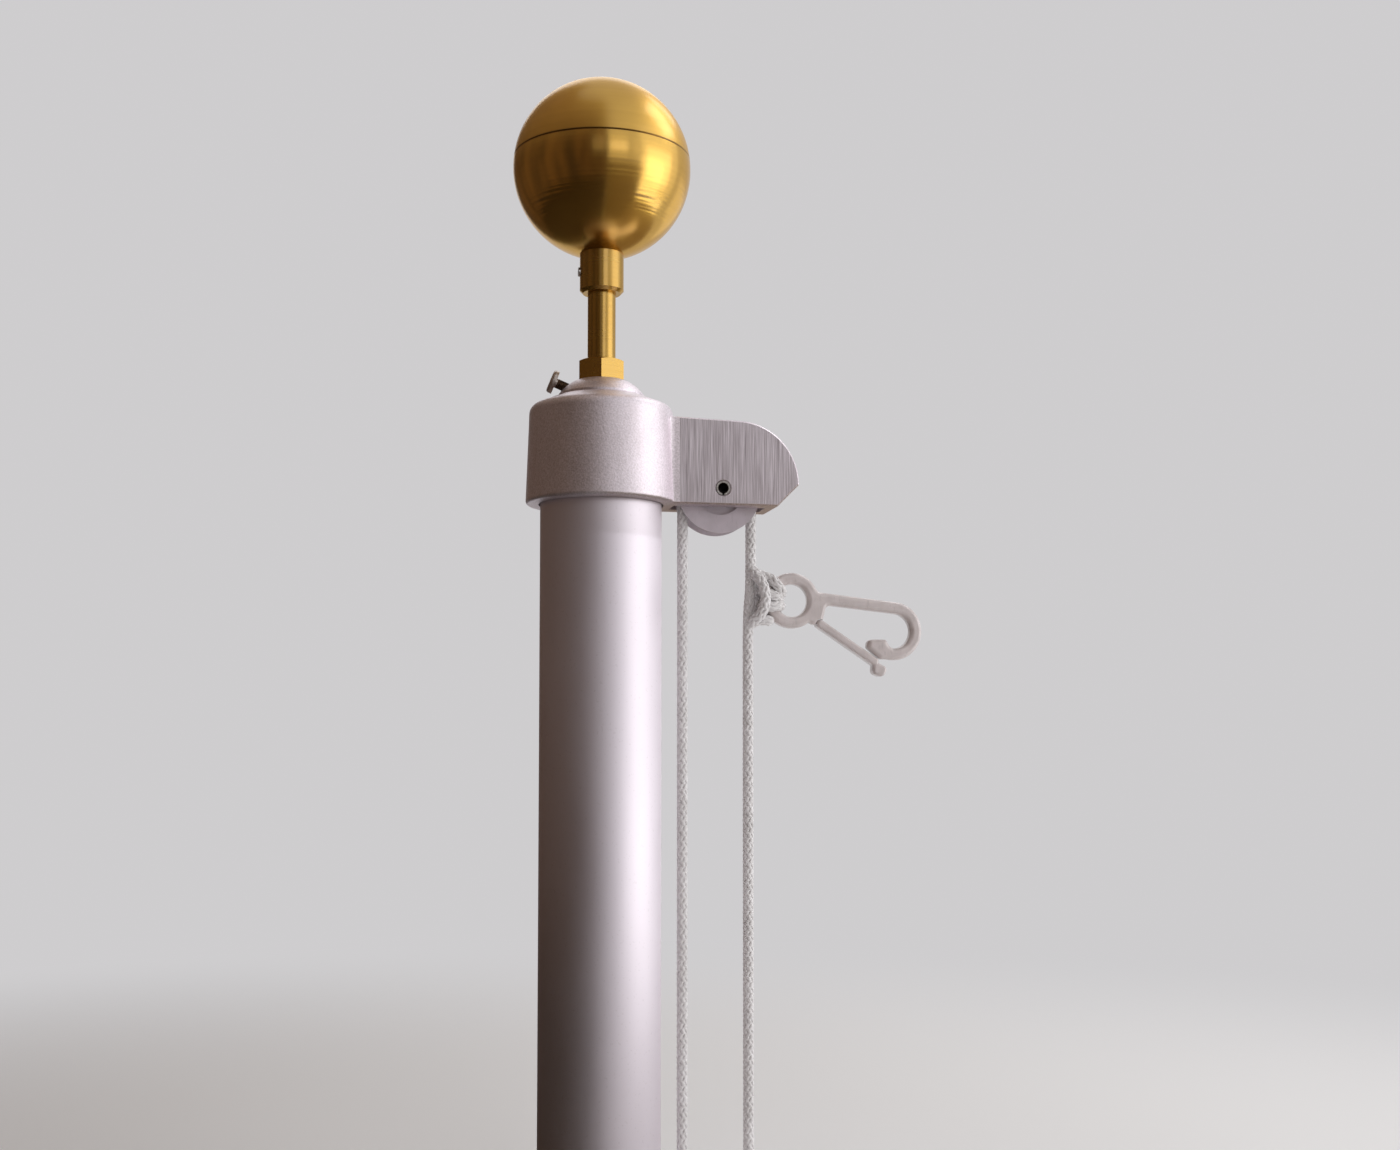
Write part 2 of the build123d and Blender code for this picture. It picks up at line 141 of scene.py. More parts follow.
# Truck: where its arm starts, how squarely the arm's ground sides face across it, and the share of
# fine lines among the marks that the belt left there
ARM_FROM_X = 0.031
FLAT_FACING = (0.975, 0.99)
FINE_BELT_SHARE = 0.6

# Ball: its centre, and how closely its mesh has to face as a sphere does
BALL_CENTRE = (0.0, 0.0, 0.4428)
BALL_FACING = (0.97, 0.985)

# Darkening along the ball's seam: its height, how far from there it starts to thin out and ends, its
# strength
SEAM_Z = 0.4470
SEAM_DARKENING = (0.0002, 0.0006)
SEAM_DARKENING_STRENGTH = 0.8

# Spinning marks on the ball's lower half: their height, how far from there they start to thin out and end
SPIN_MARKS_Z = 0.4225
SPIN_MARKS = (0.005, 0.009)

# Colours of the tube
TUBE_PLAIN = (0.80, 0.74, 0.79)
TUBE_DULL = (0.72, 0.665, 0.715)
TUBE_PALE = (0.78, 0.725, 0.775)
TUBE_SPECK = (0.58, 0.53, 0.55)

# Colours of the casting, and of its sides ground on a belt
CAST_PLAIN = (0.68, 0.62, 0.66)
CAST_DULL = (0.69, 0.63, 0.67)
CAST_PALE = (0.91, 0.84, 0.895)
CAST_STAIN = (0.52, 0.455, 0.47)
CAST_STREAK = (0.86, 0.80, 0.845)
BELT_DULL = (0.35, 0.31, 0.33)
BELT_PALE = (0.70, 0.64, 0.685)

# Colours of gold anodising: plain, thinner and dirtier, seen edge on, and darkened along the seam
GOLD = (0.70, 0.405, 0.068)
GOLD_PALE = (0.78, 0.475, 0.092)
GOLD_DULL = (0.55, 0.30, 0.045)
GOLD_EDGE = (0.90, 0.74, 0.45)
SEAM_DARK_COLOUR = (0.16, 0.085, 0.03)

# Colours of the steel pieces: plated, dirty and plated, oiled, and painted shade for the pin's bore; and
# the roughness of rust and of the bore's painted shade
STEEL_PLAIN = (0.66, 0.645, 0.63)
STEEL_CLEAN = (0.70, 0.685, 0.67)
STEEL_STAIN = (0.42, 0.39, 0.365)
SCREW_PLAIN = (0.60, 0.55, 0.52)
SCREW_CLEAN = (0.66, 0.61, 0.58)
SCREW_STAIN = (0.42, 0.36, 0.32)
RUST = (0.16, 0.105, 0.065)
RUST_DARK = (0.07, 0.045, 0.03)
RUST_ROUGHNESS = 0.55
PIN_PLAIN = (0.36, 0.34, 0.33)
PIN_CLEAN = (0.44, 0.42, 0.41)
PIN_STAIN = (0.24, 0.22, 0.20)
# Painted shade inside the pin's bore, and its roughness
PAINTED_BORE_SHADE = (0.03, 0.022, 0.016)
PAINTED_BORE_SHADE_ROUGHNESS = 0.75

# Colours of the nylon pieces and the rope
GREY_NYLON = (0.56, 0.49, 0.54)
GREY_NYLON_DULL = (0.49, 0.43, 0.47)
WHITE_NYLON = (0.67, 0.60, 0.59)
WHITE_NYLON_DULL = (0.57, 0.505, 0.495)
SCUFF_SHADE = 0.8
ROPE_PLAIN = (0.84, 0.82, 0.82)
ROPE_CLEAN = (0.86, 0.84, 0.845)
ROPE_DUSTY = (0.74, 0.72, 0.715)
ROPE_HOLLOW = (0.60, 0.575, 0.575)

# Depths of fine relief, and the height in a noise that stands for no relief
DRAWN_LINE_DEPTH = 0.000006
CAST_GRAIN_DEPTH = 0.00008
BELT_LINE_DEPTH = 0.00012
SPIN_MARK_DEPTH = 0.00025
TURNING_DEPTH = 0.00004
STEEL_GRAIN_DEPTH = 0.00002
THREAD_DEPTH = 0.00012
MOULDED_SKIN_DEPTH = 0.00002
FIBRE_DEPTH = 0.00012
LEVEL = 0.5

# The range that a noise keeps within, but for a few places
NOISE_RANGE = (0.3, 0.7)

# Layers over the gold, the nylon and the rope, by the shader's own names
SPUN_COAT = {"Coat Weight": 0.6, "Coat IOR": 1.6, "Coat Roughness": 0.2}
TURNED_COAT = {"Coat Weight": 0.6, "Coat IOR": 1.6, "Coat Roughness": 0.1}
NYLON_LAYERS = {
    "Coat Weight": 0.8,
    "Sheen Roughness": 0.25,
    "Subsurface Weight": 0.12,
    "Subsurface Radius": (0.002, 0.0017, 0.0015),
}
ROPE_FUZZ = {"Sheen Weight": 0.25, "Sheen Roughness": 0.4}

# Highlights stretch across lines that run up the pole, or round it
UPRIGHT_LINES = 0.0
TURNING_LINES = 0.25

# Stage: angles go round the pole from the camera's side (-Y) towards +X
STAGE_ROUGHNESS = 0.9
STAGE_GLOSS = 0.1
ROUND_STEPS = 28
BACKDROP_COLOUR = (0.62, 0.61, 0.62)
FLOOR_HALF = 30.0
FLOOR_COLOUR = (0.86, 0.855, 0.85)
FLOOR_FADE = (0.30, 0.95)

# Screen: part of a dome, hung with folded cloth that gets paler between two heights
SCREEN_R = 1.0
SCREEN_HEIGHT = 1.5
SCREEN_FROM_DEG = -165.0
SCREEN_TO_DEG = -1.0
SCREEN_TOP_DEG = 72.0
SCREEN_RINGS = 8
SCREEN_FOLDS = (5.0, 5.0, 0.7)
SCREEN_FOLD_SHADES = (0.36, 0.70)
SCREEN_DARK = (0.065, 0.044, 0.036)
SCREEN_WARM = (0.20, 0.125, 0.075)
SCREEN_CREST = (0.42, 0.32, 0.23)
SCREEN_FADE = (0.70, 1.30)

# Mats: parts of flat rings round the pole
MATS = {
    "dark_mat": {
        "turns_deg": (SCREEN_FROM_DEG, SCREEN_TO_DEG),
        "radii": (0.03, 1.1),
        "rise": 0.002,
        "colour": (0.07, 0.05, 0.035),
    },
    "brown_mat": {
        "turns_deg": (SCREEN_TO_DEG, 45.0),
        "radii": (0.03, 2.0),
        "rise": 0.285,
        "colour": (0.24, 0.19, 0.13),
    },
    "warm_mat": {
        "turns_deg": (45.0, 195.0),
        "radii": (0.03, 0.21),
        "rise": 0.285,
        "colour": (0.34, 0.27, 0.19),
    },
}

# Lamps: soft rectangles, all aimed at one place on the object
AIM = (0.02, 0.0, 0.27)
LAMPS = {
    "key_light": {"turn_deg": 74.0, "away": 0.95, "rise": 0.58, "size": (1.05, 1.15), "power": 1.45},
    "bowl_light": {"turn_deg": 59.0, "away": 0.93, "rise": 0.26, "size": (0.62, 0.50), "power": 0.70},
    "core_light": {"turn_deg": 69.0, "away": 0.92, "rise": 0.44, "size": (0.64, 0.52), "power": 0.98},
    "low_light": {
        "turn_deg": 70.0, "away": 0.55, "rise": 0.03, "size": (0.6, 0.3), "power": 0.62,
        "on_metal_only": True,
    },
    "strip_light": {"turn_deg": 13.0, "away": 1.25, "rise": 0.71, "size": (0.50, 0.22), "power": 0.36},
    "edge_light": {"turn_deg": -12.0, "away": 0.80, "rise": 0.62, "size": (0.22, 0.26), "power": 0.045},
    "fill_light": {"turn_deg": 40.0, "away": 1.2, "rise": 0.70, "size": (0.40, 0.45), "power": 0.11},
    "side_light": {"turn_deg": 128.0, "away": 1.2, "rise": 0.30, "size": (0.7, 0.6), "power": 0.45},
    "high_light": {"turn_deg": 98.0, "away": 0.85, "rise": 1.27, "size": (0.48, 0.54), "power": 1.95},
    "rear_light": {"turn_deg": 133.0, "away": 0.95, "rise": 1.33, "size": (0.30, 0.40), "power": 0.6},
    "back_light": {"turn_deg": 180.0, "away": 1.0, "rise": 1.3, "size": (0.9, 0.6), "power": 1.6},
}

# The type that the sockets of a mix node have for each kind of data
MIX_SOCKETS = {"FLOAT": "VALUE", "VECTOR": "VECTOR", "RGBA": "RGBA"}


class Finish:
    """A material being made: its node tree, its shader and the nodes that drive it.

    The colour and roughness that it starts with hold until it is painted and roughened.
    """

    def __init__(self, name, colour, metallic, roughness):
        self.material = bpy.data.materials.new(name)
        self.material.use_nodes = True
        self.tree = self.material.node_tree
        self.shader = self.tree.nodes["Principled BSDF"]
        self.set_inputs({"Base Color": colour, "Metallic": metallic, "Roughness": roughness})
        self.place = self.add("ShaderNodeTexCoord").outputs["Object"]
        self.relief = None

    def add(self, kind, **settings):
        made = self.tree.nodes.new(kind)
        for name, value in settings.items():
            setattr(made, name, value)
        return made

    def feed(self, target, source):
        """Joins a socket to another, or sets it to a plain value, which for a colour is a triple."""
        if isinstance(source, bpy.types.NodeSocket):
            self.tree.links.new(source, target)
        elif target.type == "RGBA":
            target.default_value = (*source, 1)
        else:
            target.default_value = source

    def set_inputs(self, values):
        """Feeds inputs of the shader, by their names."""
        for name, value in values.items():
            self.feed(self.shader.inputs[name], value)

    def noise(self, scale, detail=2.0, place=None):
        """Noise from 0 to 1, with a size of about 1/scale along each axis."""
        stretch = self.add("ShaderNodeMapping")
        self.feed(stretch.inputs["Vector"], place or self.place)
        self.feed(stretch.inputs["Scale"], scale)
        made = self.add("ShaderNodeTexNoise")
        self.feed(made.inputs["Vector"], stretch.outputs["Vector"])
        self.feed(made.inputs["Scale"], 1.0)
        self.feed(made.inputs["Detail"], detail)
        return made.outputs["Fac"]

    def span(self, value, low, high, to_low=0.0, to_high=1.0, curve="LINEAR"):
        """A value stretched from one range to another, and held within it."""
        made = self.add("ShaderNodeMapRange", interpolation_type=curve)
        names = ("Value", "From Min", "From Max", "To Min", "To Max")
        for name, given in zip(names, (value, low, high, to_low, to_high)):
            self.feed(made.inputs[name], given)
        return made.outputs["Result"]

    def math(self, operation, first, second=0.0):
        made = self.add("ShaderNodeMath", operation=operation)
        self.feed(made.inputs[0], first)
        self.feed(made.inputs[1], second)
        return made.outputs["Value"]

    def apart(self, first, second):
        """How far apart two numbers are."""
        return self.math("ABSOLUTE", self.math("SUBTRACT", first, second))

    def vector(self, operation, first, second=(0, 0, 0)):
        """A vector, or else a number, from one or two vectors."""
        made = self.add("ShaderNodeVectorMath", operation=operation)
        self.feed(made.inputs[0], first)
        self.feed(made.inputs[1], second)
        return made.outputs["Value" if operation in ("DOT_PRODUCT", "LENGTH") else "Vector"]

    def axis(self, name, vector=None):
        """One coordinate of a vector, or else of the place on the surface."""
        made = self.add("ShaderNodeSeparateXYZ")
        self.feed(made.inputs[0], vector or self.place)
        return made.outputs[name]

    def blend(self, kind, factor, first, second):
        """A blend of two numbers, vectors or colours."""
        made = self.add("ShaderNodeMix", data_type=kind)
        self.feed(made.inputs["Factor"], factor)
        inputs = [socket for socket in made.inputs if socket.type == MIX_SOCKETS[kind]]
        pair = [socket for socket in inputs if socket.name in ("A", "B")]
        for socket, given in zip(pair, (first, second)):
            self.feed(socket, given)
        return [socket for socket in made.outputs if socket.type == MIX_SOCKETS[kind]][0]

    def mix(self, factor, first, second):
        return self.blend("FLOAT", factor, first, second)

    def colour(self, factor, first, second):
        return self.blend("RGBA", factor, first, second)

    def paint(self, colour):
        self.set_inputs({"Base Color": colour})

    def roughen(self, value):
        self.set_inputs({"Roughness": value})

    def bump(self, height, depth):
        """Adds relief of a given depth, over any relief there is already."""
        made = self.add("ShaderNodeBump")
        self.feed(made.inputs["Height"], height)
        self.feed(made.inputs["Distance"], depth)
        if self.relief:
            self.feed(made.inputs["Normal"], self.relief)
        self.relief = made.outputs["Normal"]
        self.set_inputs({"Normal": self.relief})

    def on_sphere(self, centre):
        """Gives later relief a sphere's exact normals, where the mesh lies on that sphere."""
        level = self.add(
            "ShaderNodeVectorTransform", vector_type="NORMAL", convert_from="OBJECT", convert_to="WORLD")
        self.feed(level.inputs["Vector"], self.vector("SUBTRACT", self.place, centre))
        exact = self.vector("NORMALIZE", level.outputs["Vector"])
        meshed = self.add("ShaderNodeNewGeometry").outputs["Normal"]
        lies = self.span(self.vector("DOT_PRODUCT", exact, meshed), *BALL_FACING)
        self.relief = self.blend("VECTOR", lies, meshed, exact)

    def lined(self, amount, rotation):
        """Stretches highlights across fine lines."""
        tangent = self.add("ShaderNodeTangent", direction_type="RADIAL", axis="Z")
        self.set_inputs({
            "Anisotropic": amount,
            "Anisotropic Rotation": rotation,
            "Tangent": tangent.outputs["Tangent"],
        })

    def cover(self, factor, other):
        """Lays another shader over this one, by a factor."""
        made = self.add("ShaderNodeMixShader")
        for target, source in zip(made.inputs, (factor, self.shader.outputs[0], other.outputs[0])):
            self.feed(target, source)
        self.feed(self.tree.nodes["Material Output"].inputs["Surface"], made.outputs[0])


def even(scale):
    return (scale, scale, scale)


def tube_finish():
    """Satin drawn aluminium: fine lines along the tube, and a faint haze."""
    made = Finish("satin_drawn_aluminium", TUBE_PLAIN, metallic=1.0, roughness=0.40)
    lines = made.noise((2400, 2400, 18), detail=3.0)
    haze = made.noise((26, 26, 9), detail=3.0)
    specks = made.span(made.noise(even(900), detail=1.0), 0.66, 0.74, to_high=0.3)
    worn = made.colour(made.span(haze, *NOISE_RANGE), TUBE_DULL, TUBE_PALE)
    made.paint(made.colour(specks, worn, TUBE_SPECK))
    hazed = made.span(haze, *NOISE_RANGE, to_low=0.40, to_high=0.46)
    made.roughen(made.math("ADD", hazed, made.span(lines, 0.0, 1.0, to_high=0.05)))
    made.bump(lines, DRAWN_LINE_DEPTH)
    made.lined(amount=0.75, rotation=UPRIGHT_LINES)
    return made.material


def casting_finish():
    """Blasted casting, with the arm's flat sides ground on a belt along Z."""
    made = Finish("blasted_cast_aluminium", CAST_PLAIN, metallic=1.0, roughness=0.48)
    grain = made.noise(even(1300), detail=3.0)
    speckle = made.noise(even(1500))
    stains = made.noise((70, 70, 30), detail=3.0)
    streaks = made.noise((420, 420, 12), detail=3.0)
    blasted = made.colour(made.span(speckle, 0.34, 0.66), CAST_DULL, CAST_PALE)
    blasted = made.colour(made.span(stains, 0.54, 0.74, to_high=0.3), blasted, CAST_STAIN)
    blasted = made.colour(made.span(streaks, 0.55, 0.72, to_high=0.25), blasted, CAST_STREAK)
    blasted_roughness = made.span(speckle, *NOISE_RANGE, to_low=0.45, to_high=0.55)

    coarse_belt = made.noise((1500, 60, 30), detail=3.0)
    fine_belt = made.noise((3400, 80, 60), detail=3.0)
    belt = made.mix(FINE_BELT_SHARE, coarse_belt, fine_belt)
    ground = made.colour(made.span(belt, 0.36, 0.64), BELT_DULL, BELT_PALE)
    ground_roughness = made.span(belt, 0.35, 0.6, to_low=0.5, to_high=0.4)

    facing = made.add("ShaderNodeNewGeometry").outputs["Normal"]
    across = made.span(made.math("ABSOLUTE", made.axis("Y", facing)), *FLAT_FACING)
    flat = made.math("MULTIPLY", across, made.math("GREATER_THAN", made.axis("X"), ARM_FROM_X))

    made.paint(made.colour(flat, blasted, ground))
    made.roughen(made.mix(flat, blasted_roughness, ground_roughness))
    made.bump(made.mix(flat, grain, LEVEL), CAST_GRAIN_DEPTH)
    made.bump(made.mix(flat, LEVEL, belt), BELT_LINE_DEPTH)
    return made.material


def gold_finish(name, depth, roughness, coat, lines_apart, stretch, ball=False):
    """Gold anodised metal with fine turning lines round the axis, and darker along the ball's seam."""
    plain, pale, dull = [np.multiply(depth, shade).tolist() for shade in (GOLD, GOLD_PALE, GOLD_DULL)]
    made = Finish(name, plain, metallic=1.0, roughness=roughness)
    rings = made.noise((0, 0, 1 / lines_apart), detail=1.0)
    bands = made.noise((5, 5, 160))
    haze = made.noise(even(34), detail=3.0)
    height = made.axis("Z")
    shade = made.colour(made.span(haze, *NOISE_RANGE), plain, pale)
    shade = made.colour(made.span(rings, 0.35, 0.65, to_high=0.12), shade, dull)
    # Darker in a narrow band along the ball's seam.
    darker_at_seam = made.span(made.apart(height, SEAM_Z), *SEAM_DARKENING, to_low=SEAM_DARKENING_STRENGTH, to_high=0.0)
    made.paint(made.colour(darker_at_seam, shade, SEAM_DARK_COLOUR))
    banded = made.span(bands, *NOISE_RANGE, to_low=roughness - 0.02, to_high=roughness + 0.02)
    made.roughen(made.math("ADD", banded, made.span(haze, *NOISE_RANGE, to_high=0.03)))
    if ball:
        made.on_sphere(BALL_CENTRE)
        marked = made.span(made.apart(height, SPIN_MARKS_Z), *SPIN_MARKS, to_low=1.0, to_high=0.0)
        made.bump(made.math("MULTIPLY", rings, marked), SPIN_MARK_DEPTH)
    made.bump(rings, TURNING_DEPTH)
    made.set_inputs({"Specular Tint": GOLD_EDGE, **coat})
    made.lined(amount=stretch, rotation=TURNING_LINES)
    return made.material


def steel_finish():
    """Zinc plated steel, a little stained."""
    made = Finish("zinc_plated_steel", STEEL_PLAIN, metallic=1.0, roughness=0.36)
    stains = made.noise(even(900), detail=3.0)
    grain = made.noise(even(4000))
    made.paint(made.colour(made.span(stains, 0.35, 0.7), STEEL_CLEAN, STEEL_STAIN))
    made.roughen(made.span(stains, *NOISE_RANGE, to_low=0.3, to_high=0.5))
    made.bump(grain, STEEL_GRAIN_DEPTH)
    return made.material


def screw_finish():
    """A zinc plated screw with a dirty, rusty thread."""
    made = Finish("dirty_plated_steel", SCREW_PLAIN, metallic=1.0, roughness=0.38)
    stains = made.noise(even(900), detail=3.0)
    plated = made.colour(made.span(stains, 0.35, 0.7), SCREW_CLEAN, SCREW_STAIN)
    rust = made.colour(made.span(stains, 0.35, 0.65), RUST, RUST_DARK)
    along = made.vector("DOT_PRODUCT", made.vector("SUBTRACT", made.place, SCREW_HEAD), SCREW_OUT)
    dirty = made.span(along, *SCREW_THREAD_FROM)
    thread = made.math("SINE", made.math("MULTIPLY", along, 2 * math.pi / SCREW_PITCH))
    made.paint(made.colour(dirty, plated, rust))
    stained = made.span(stains, *NOISE_RANGE, to_low=0.32, to_high=0.5)
    made.roughen(made.mix(dirty, stained, RUST_ROUGHNESS))
    made.bump(made.math("MULTIPLY", thread, dirty), THREAD_DEPTH)
    return made.material


def pin_finish():
    """Oiled spring steel, with painted shade in the roll pin's bore."""
    made = Finish("oiled_spring_steel", PIN_PLAIN, metallic=1.0, roughness=0.42)
    stains = made.noise(even(1400), detail=3.0)
    oiled = made.colour(made.span(stains, 0.35, 0.7), PIN_CLEAN, PIN_STAIN)
    across = made.vector("MULTIPLY", made.vector("SUBTRACT", made.place, PIN_AXIS), PIN_ACROSS)
    # Painted shade: the wall of the pin's bore is painted dark, where the lamps alone leave it lit.
    bore_shade_mask = made.span(made.vector("LENGTH", across), *PIN_BORE, to_low=1.0, to_high=0.0)
    made.paint(made.colour(bore_shade_mask, oiled, PAINTED_BORE_SHADE))
    stained = made.span(stains, *NOISE_RANGE, to_low=0.35, to_high=0.5)
    made.roughen(made.mix(bore_shade_mask, stained, PAINTED_BORE_SHADE_ROUGHNESS))
    return made.material


def moulded_finish(name, pale, dull, roughness, rim):
    """Moulded nylon: soft gloss, faint clouds and scuffs, and edges that glow where light gets through."""
    made = Finish(name, pale, metallic=0.0, roughness=roughness)
    cloud = made.noise(even(160), detail=3.0)
    skin = made.noise(even(2600), detail=3.0)
    scuffs = made.span(made.noise((900, 900, 240)), 0.6, 0.72, to_high=0.4)
    clouded = made.colour(made.span(cloud, 0.35, 0.7), pale, dull)
    made.paint(made.colour(scuffs, clouded, [SCUFF_SHADE * part for part in dull]))
    made.roughen(made.span(cloud, *NOISE_RANGE, to_low=roughness - 0.06, to_high=roughness + 0.08))
    made.bump(skin, MOULDED_SKIN_DEPTH)
    made.set_inputs({"Coat Roughness": roughness / 2, "Sheen Weight": rim, **NYLON_LAYERS})
    return made.material


def rope_finish():
    """White polyester braid: fibres along each strand, greyed a little in the hollows."""
    made = Finish("braided_polyester", ROPE_PLAIN, metallic=0.0, roughness=0.7)
    laid = made.add("ShaderNodeUVMap", uv_map="fibre").outputs["UV"]
    fibres = made.noise((14, 260, 1), place=laid)
    dust = made.noise(even(120), detail=3.0)
    clean = made.colour(made.span(dust, 0.35, 0.7), ROPE_CLEAN, ROPE_DUSTY)
    made.paint(made.colour(made.span(fibres, 0.5, 0.75, to_high=0.5), clean, ROPE_HOLLOW))
    made.roughen(made.span(fibres, *NOISE_RANGE, to_low=0.55, to_high=0.8))
    made.bump(fibres, FIBRE_DEPTH)
    made.set_inputs(ROPE_FUZZ)
    return made.material


def dress(material, *nodes):
    """Gives CAD nodes a material."""
    for name in nodes:
        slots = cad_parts[name].data.materials
        slots.clear()
        slots.append(material)


def line_of(route):
    """Points of the smooth line that has a route's points as its control points."""
    curve = bpy.data.curves.new("route", "CURVE")
    curve.dimensions = "3D"
    curve.resolution_u = SPLINE_RESOLUTION
    spline = curve.splines.new("NURBS")
    spline.points.add(len(route) - 1)
    for point, place in zip(spline.points, route):
        point.co = (*place, 1.0)
    spline.order_u = SPLINE_ORDER
    spline.use_endpoint_u = True
    carrier = bpy.data.objects.new("route", curve)
    mesh = bpy.data.meshes.new_from_object(carrier)
    points = np.array([vertex.co for vertex in mesh.vertices])
    bpy.data.objects.remove(carrier)
    bpy.data.curves.remove(curve)
    bpy.data.meshes.remove(mesh)
    return points


def spaced(points, step):
    """The same line at even steps, with the distance along it of each point."""
    gaps = np.linalg.norm(np.diff(points, axis=0), axis=1)
    reached = np.concatenate([[0.0], np.cumsum(gaps)])
    along = np.linspace(0.0, reached[-1], int(round(reached[-1] / step)) + 1)
    line = np.stack([np.interp(along, reached, points[:, axis]) for axis in range(3)], axis=1)
    return line, along


def unit(vectors):
    return vectors / np.linalg.norm(vectors, axis=-1, keepdims=True)


def circle(sides, first_side=0.0):
    """Angles of even steps round a circle."""
    return 2 * math.pi * (np.arange(sides) - first_side) / sides


def sideways(line):
    """Two directions across a line at each of its points, turning as little as they can."""
    ahead = unit(np.gradient(line, axis=0))
    start = np.cross(ahead[0], (0, 1, 0))
    if np.linalg.norm(start) < NEARLY_PARALLEL:
        start = np.cross(ahead[0], (1, 0, 0))
    first = [unit(start)]
    for direction in ahead[1:]:
        first.append(unit(first[-1] - direction * np.dot(first[-1], direction)))
    first = np.array(first)
    return first, np.cross(ahead, first)


def ovals(line, wide, lift, half_width, half_thickness, angles):
    """A ring of points round each point of a line, given the two directions across it."""
    across = wide[:, None] * (half_width * np.cos(angles))[None, :, None]
    up = lift[:, None] * (half_thickness * np.sin(angles))[None, :, None]
    return line[:, None] + across + up


class Tubes:
    """Closed tubes gathered into one mesh, with a coordinate round and along each for fibres."""

    def __init__(self):
        self.points, self.faces, self.fibres = [], [], []
        self.count = 0

    def add(self, rings, along):
        steps, sides = rings.shape[:2]
        index = self.count + np.arange(steps * sides).reshape(steps, sides)
        after = np.roll(index, -1, axis=1)
        quads = np.stack([index[:-1], after[:-1], after[1:], index[1:]], axis=-1)
        self.faces += quads.reshape(-1, 4).tolist()
        self.faces += [index[0][::-1].tolist(), index[-1].tolist()]
        self.points.append(rings.reshape(-1, 3))
        across = np.broadcast_to(np.arange(sides) / sides, (steps, sides))
        lengthwise = np.broadcast_to(along[:, None], (steps, sides))
        self.fibres.append(np.stack([across, lengthwise], axis=-1).reshape(-1, 2))
        self.count += steps * sides

    def piece(self, name, material, smooth=True):
        mesh = bpy.data.meshes.new(name)
        mesh.from_pydata(np.concatenate(self.points).tolist(), [], self.faces)
        fibres = np.concatenate(self.fibres)
        corners = np.zeros(len(mesh.loops), dtype=np.int32)
        mesh.loops.foreach_get("vertex_index", corners)
        layer = mesh.uv_layers.new(name="fibre")
        layer.data.foreach_set("uv", fibres[corners].astype(np.float32).ravel())
        mesh.polygons.foreach_set("use_smooth", [smooth] * len(mesh.polygons))
        mesh.materials.append(material)
        made = bpy.data.objects.new(name, mesh)
        bpy.context.scene.collection.objects.link(made)
        return made


def add_braid(tubes, line, along):
    """Strands wound both ways round a line, each over one and under the next, on a core."""
    first, second = sideways(line)
    middle = ROPE_R - STRAND_HALF_THICKNESS - STRAND_WEAVE
    turn = 2 * math.pi * along / BRAID_PITCH
    section = circle(STRAND_SIDES, first_side=STRAND_SIDES / 4)
    for hand in (1, -1):
        reach = middle + hand * STRAND_WEAVE * np.cos(STRANDS_EACH_WAY * turn)
        for strand in range(STRANDS_EACH_WAY):
            angle = hand * turn + 2 * math.pi * strand / STRANDS_EACH_WAY
            out = first * np.cos(angle)[:, None] + second * np.sin(angle)[:, None]
            centre = line + out * reach[:, None]
            run = unit(np.gradient(centre, axis=0))
            wide = unit(np.cross(run, out))
            lift = np.cross(wide, run)
            tubes.add(ovals(centre, wide, lift, STRAND_HALF_WIDTH, STRAND_HALF_THICKNESS, section), along)
    tubes.add(ovals(line, first, second, CORE_R, CORE_R, circle(CORE_SIDES)), along)


def rope(name, material, *routes):
    """A piece of braided rope along one or more routes, and the line of the first route."""
    tubes = Tubes()
    lines = [spaced(line_of(route), BRAID_PITCH / STEPS_A_PITCH) for route in routes]
    for line, along in lines:
        add_braid(tubes, line, along)
    made = tubes.piece(name, material)
    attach(made, "pole")
    return made, lines[0][0]


def hitch_turns():
    """Turns round the left limb of the hook's eye, from the strand above to the strand below."""
    turns = []
    for share in np.linspace(0, 1, HITCH_TURNS * HITCH_POINTS_A_TURN + 1):
        limb = math.radians(HITCH_FROM_DEG + share * (HITCH_TO_DEG - HITCH_FROM_DEG))
        angle = math.radians(HITCH_START_DEG) + 2 * math.pi * HITCH_TURNS * share
        reach = EYE_MIDDLE_R + HITCH_TURN_OUT * math.cos(angle)
        x = EYE_CENTRE[0] + reach * math.cos(limb)
        z = EYE_CENTRE[1] + reach * math.sin(limb)
        turns.append((x, -HITCH_TURN_HALF_Y * math.sin(angle), z))
    return HITCH_LEAD_IN + turns + HITCH_LEAD_OUT


def knot_turns(x):
    """The stopper knot's wraps, with both ends tucked in against the strand."""
    count = int(KNOT_TURNS * KNOT_POINTS_A_TURN)
    low, high = KNOT_FOOT + ROPE_R, KNOT_TOP - ROPE_R
    route = []
    for step in range(count + 1):
        share = step / count
        angle = 2 * math.pi * KNOT_TURNS * share
        radius = KNOT_TURN_R * (KNOT_TUCK if step in (0, count) else 1.0)
        route.append((x + radius * math.cos(angle), radius * math.sin(angle), low + share * (high - low)))
    return route


def tail(x):
    """The strand inside the knot, and its short end below."""
    lean_x, lean_y = TAIL_LEAN
    return [(x, 0, KNOT_TOP + ROPE_R), (x, 0, KNOT_FOOT), (x + lean_x, lean_y, TAIL_FOOT)]


def make_halyard(material):
    """The halyard with its hitch on the hook and a stopper knot on each end."""
    halyard, line = rope("braided_halyard", material, HALYARD_ROUTE)
    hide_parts("halyard")
    hitch, _ = rope("hitch_on_hook", material, HITCH_BIGHT, HITCH_BACK_BIGHT, hitch_turns())
    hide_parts("hitch_knot")
    for side, end in (("inner", 0), ("outer", -1)):
        x = HALYARD_ROUTE[end][0]
        knot, _ = rope(f"stopper_knot_{side}", material, tail(x), knot_turns(x))
        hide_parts(f"halyard_end_knot_{side}")


def hexagon_reach(angle):
    """How far a hexagon with corners at a distance of 1 reaches out at an angle."""
    return math.cos(math.pi / 6) / math.cos(angle % (math.pi / 3) - math.pi / 6)


